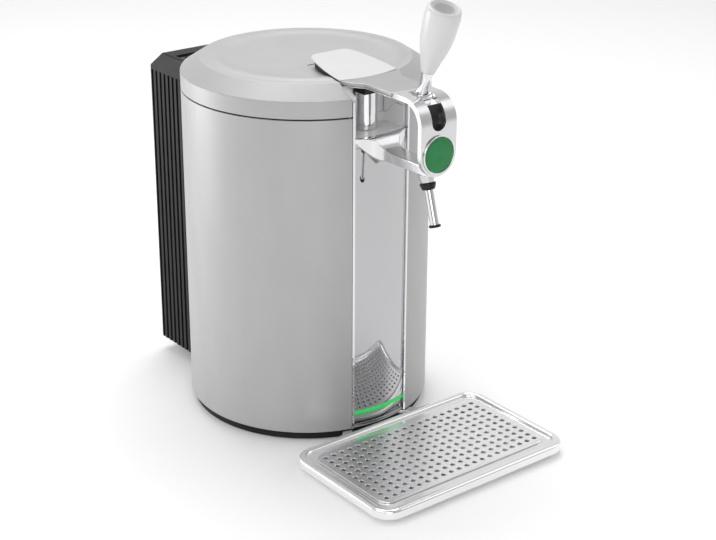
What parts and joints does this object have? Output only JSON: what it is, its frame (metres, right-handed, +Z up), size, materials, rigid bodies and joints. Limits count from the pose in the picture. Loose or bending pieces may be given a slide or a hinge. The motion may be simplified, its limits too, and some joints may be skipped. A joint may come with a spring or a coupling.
{
  "type": "mini keg beer dispenser",
  "caption": "Countertop mini keg cooler and dispenser: round silver body, hinged lid, tap arm with lever handle and spout, ribbed rear cooling unit and a perforated drip tray.",
  "frame": {"origin": "centre of the whole object's box, at the level of the surface it stands on", "axes": "+Z up, the tap and drip tray face -Y, +X is to the right seen from the front"},
  "size_m": [0.26, 0.476, 0.4767],
  "materials": {
    "satin_silver": "satin",
    "lid_silver": "satin silver paint",
    "pearl": "pearl white",
    "mirror": "mirror",
    "chrome": "polished",
    "aluminium": "mill",
    "steel": "brushed",
    "black_plastic": "fine texture",
    "dark_plastic": "matt",
    "grey_plastic": "satin",
    "rubber": "matt",
    "foam": "cut foam",
    "green_light": "lit from behind",
    "green_enamel": "enamel",
    "frosted": "frosted",
    "handle_core": "satin",
    "ceramic": "matt",
    "board_green": "satin"
  },
  "bodies": {
    "case": {"base_pan": "black_plastic", "foot_ring": "rubber", "outer_shell": "satin_silver", "base_trim": "chrome", "kick_panel": "mirror", "led_strip": "green_light", "front_panel": "mirror", "panel_cap": "satin_silver", "panel_trim_left": "chrome", "panel_trim_right": "chrome", "pocket_liner": "grey_plastic", "pocket_cheek_left": "grey_plastic", "pocket_cheek_right": "grey_plastic", "top_deck": "dark_plastic", "lid_seal": "rubber", "keg_well": "aluminium", "insulation": "foam", "cold_plate": "aluminium", "peltier_module": "ceramic", "heat_sink": "aluminium", "fan_frame": "black_plastic", "rear_housing": "black_plastic", "rear_grille": "black_plastic", "power_board": "board_green", "power_inlet": "dark_plastic", "switch_case": "dark_plastic", "hinge_bracket": "dark_plastic", "hinge_pin": "steel", "tap_column": "chrome", "column_collar": "black_plastic", "upper_arm": "satin_silver", "lower_arm": "chrome", "tap_head": "chrome", "slot_liner": "black_plastic", "badge": "green_enamel", "badge_ring": "chrome", "lever_pin": "steel", "nozzle": "satin_silver", "spout_collar": "black_plastic", "spout_tube": "chrome", "spout_tip": "black_plastic"},
    "lid": {"lid_shell": "lid_silver", "lid_plug": "grey_plastic", "lid_foam": "foam", "lid_liner": "grey_plastic", "hinge_leaf": "dark_plastic", "flap_post": "black_plastic", "flap_pin": "steel"},
    "flap": {"tube_flap": "pearl"},
    "tap_lever": {"lever": "chrome", "tap_handle": "frosted", "handle_cap": "handle_core"},
    "valve": {"valve_rod": "steel"},
    "tray": {"drip_tray": "chrome", "tray_pad": "rubber", "tray_hook_left": "chrome", "tray_hook_right": "chrome"},
    "plate": {"drip_plate": "steel"},
    "fan": {"fan_rotor": "dark_plastic"},
    "switch": {"rocker_switch": "black_plastic"}
  },
  "joints": [
    {"name": "lid_hinge", "type": "hinge", "parent": "case", "child": "lid", "pos_m": [0, 0.1842, 0.3545], "axis": [-1, 0, 0], "range_deg": [0, 70]},
    {"name": "flap_hinge", "type": "hinge", "parent": "lid", "child": "flap", "pos_m": [0, 0.007, 0.38754], "axis": [-1, 0, 0], "range_deg": [0, 70]},
    {"name": "tap_pull", "type": "hinge", "parent": "case", "child": "tap_lever", "pos_m": [0, -0.134, 0.379], "axis": [1, 0, 0], "range_deg": [0, 45]},
    {"name": "valve_lift", "type": "slide", "parent": "case", "child": "valve", "axis": [0, 0, 1], "range_m": [0, 0.0041]},
    {"name": "tray_pull", "type": "slide", "parent": "case", "child": "tray", "axis": [0, -1, 0], "range_m": [0, 0.1]},
    {"name": "plate_lift", "type": "slide", "parent": "tray", "child": "plate", "axis": [0, 0, 1], "range_m": [0, 0.05]},
    {"name": "fan_spin", "type": "hinge", "parent": "case", "child": "fan", "pos_m": [0, 0.1999, 0.18], "axis": [0, 1, 0], "continuous": true},
    {"name": "switch_rock", "type": "hinge", "parent": "case", "child": "switch", "pos_m": [-0.04, 0.2359, 0.045], "axis": [1, 0, 0], "range_deg": [0, 16]}
  ],
  "couplings": [
    {"joint": "valve_lift", "follows": "tap_pull", "m_per_rad": 0.005093}
  ]
}
